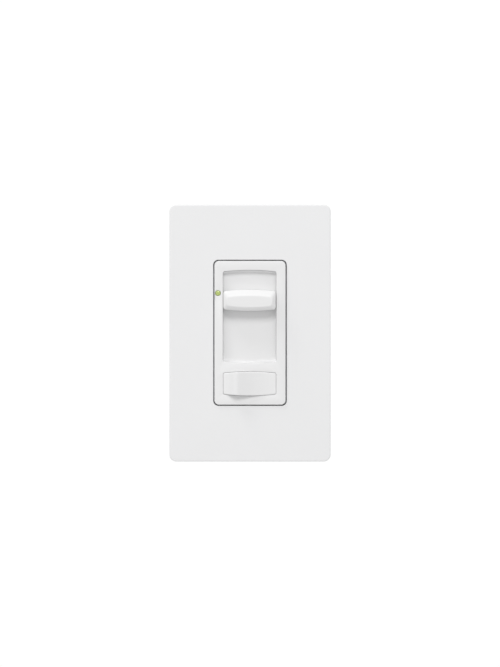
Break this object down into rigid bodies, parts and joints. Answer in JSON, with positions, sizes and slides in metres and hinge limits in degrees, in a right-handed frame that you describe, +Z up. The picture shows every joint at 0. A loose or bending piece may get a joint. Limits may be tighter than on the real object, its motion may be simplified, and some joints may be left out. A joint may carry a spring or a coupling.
{
  "type": "dimmer slide switch",
  "caption": "White wall dimmer with a vertical brightness slider above a small left-right rocker switch, in a screwless rectangular one-gang cover plate.",
  "frame": {"origin": "on the wall plane, midway between the two box screws, in the middle of the cover plate", "axes": "+Z up the wall, +X to the right of a person facing the front, +Y into the wall; the front faces -Y"},
  "size_m": [0.0746, 0.0451, 0.119],
  "materials": {
    "plate_white": "smooth white moulded plastic, soft gloss",
    "insert_white": "white moulded plastic, satin",
    "lamp_green": "clear yellow-green light pipe",
    "black_plastic": "black moulded thermoset, fine grain",
    "aluminium": "stamped aluminium sheet, brushed",
    "zinc_steel": "zinc-plated steel",
    "brass": "stamped brass",
    "green_steel": "green dyed steel",
    "fibre": "vulcanised fibre",
    "board": "green solder mask on glass-epoxy sheet",
    "insulator_grey": "grey thermal pad",
    "ferrite": "fired ferrite",
    "copper": "enamelled copper wire",
    "film_yellow": "yellow potted box",
    "dipped_red": "dipped red-brown lacquer",
    "resistor_tan": "tan lacquer",
    "glass_blue": "blue glass bead"
  },
  "bodies": {
    "root": {"wallplate_cover": "plate_white", "wallplate_adapter": "insert_white", "bezel": "insert_white", "track_panel": "insert_white", "light_pipe": "lamp_green", "slide_pot_body": "zinc_steel", "rocker_pin": "zinc_steel", "traveller_contact_left": "brass", "traveller_contact_right": "brass", "common_contact": "brass", "switch_frame": "black_plastic", "mounting_strap": "aluminium", "adapter_screw_upper": "zinc_steel", "adapter_screw_lower": "zinc_steel", "mounting_screw_upper": "zinc_steel", "mounting_screw_lower": "zinc_steel", "screw_washer_upper": "fibre", "screw_washer_lower": "fibre", "ground_screw": "green_steel", "rear_housing": "black_plastic", "housing_screw_upper_left": "zinc_steel", "housing_screw_upper_right": "zinc_steel", "housing_screw_lower_left": "zinc_steel", "housing_screw_lower_right": "zinc_steel", "terminal_plate_1": "brass", "terminal_plate_2": "brass", "terminal_plate_3": "brass", "terminal_screw_1": "brass", "terminal_screw_2": "brass", "terminal_screw_3": "brass", "circuit_board": "board", "triac": "black_plastic", "triac_insulator": "insulator_grey", "triac_screw": "zinc_steel", "choke_core": "ferrite", "choke_winding": "copper", "suppression_capacitor": "film_yellow", "timing_capacitor": "dipped_red", "timing_resistor": "resistor_tan", "diac": "glass_blue", "indicator_led": "lamp_green"},
    "slider": {"slider_knob": "insert_white", "slide_carriage": "insert_white", "slide_pot_wiper": "black_plastic"},
    "rocker": {"rocker_paddle": "insert_white", "rocker_plunger": "brass", "plunger_spring": "zinc_steel"},
    "seesaw": {"contact_seesaw": "brass"}
  },
  "joints": [
    {"name": "slider_travel", "type": "slide", "parent": "root", "child": "slider", "axis": [0, 0, 1], "range_m": [-0.0222, 0.0075]},
    {"name": "rocker_tilt", "type": "hinge", "parent": "root", "child": "rocker", "pos_m": [0, -0.0064, -0.0234], "axis": [0, 0, 1], "range_deg": [-12.8, 0]},
    {"name": "seesaw_tilt", "type": "hinge", "parent": "root", "child": "seesaw", "pos_m": [0, 0.00715, -0.0234], "axis": [0, 0, 1], "range_deg": [0, 16]}
  ],
  "couplings": [
    {"joint": "seesaw_tilt", "follows": "rocker_tilt", "ratio": -1.25}
  ]
}
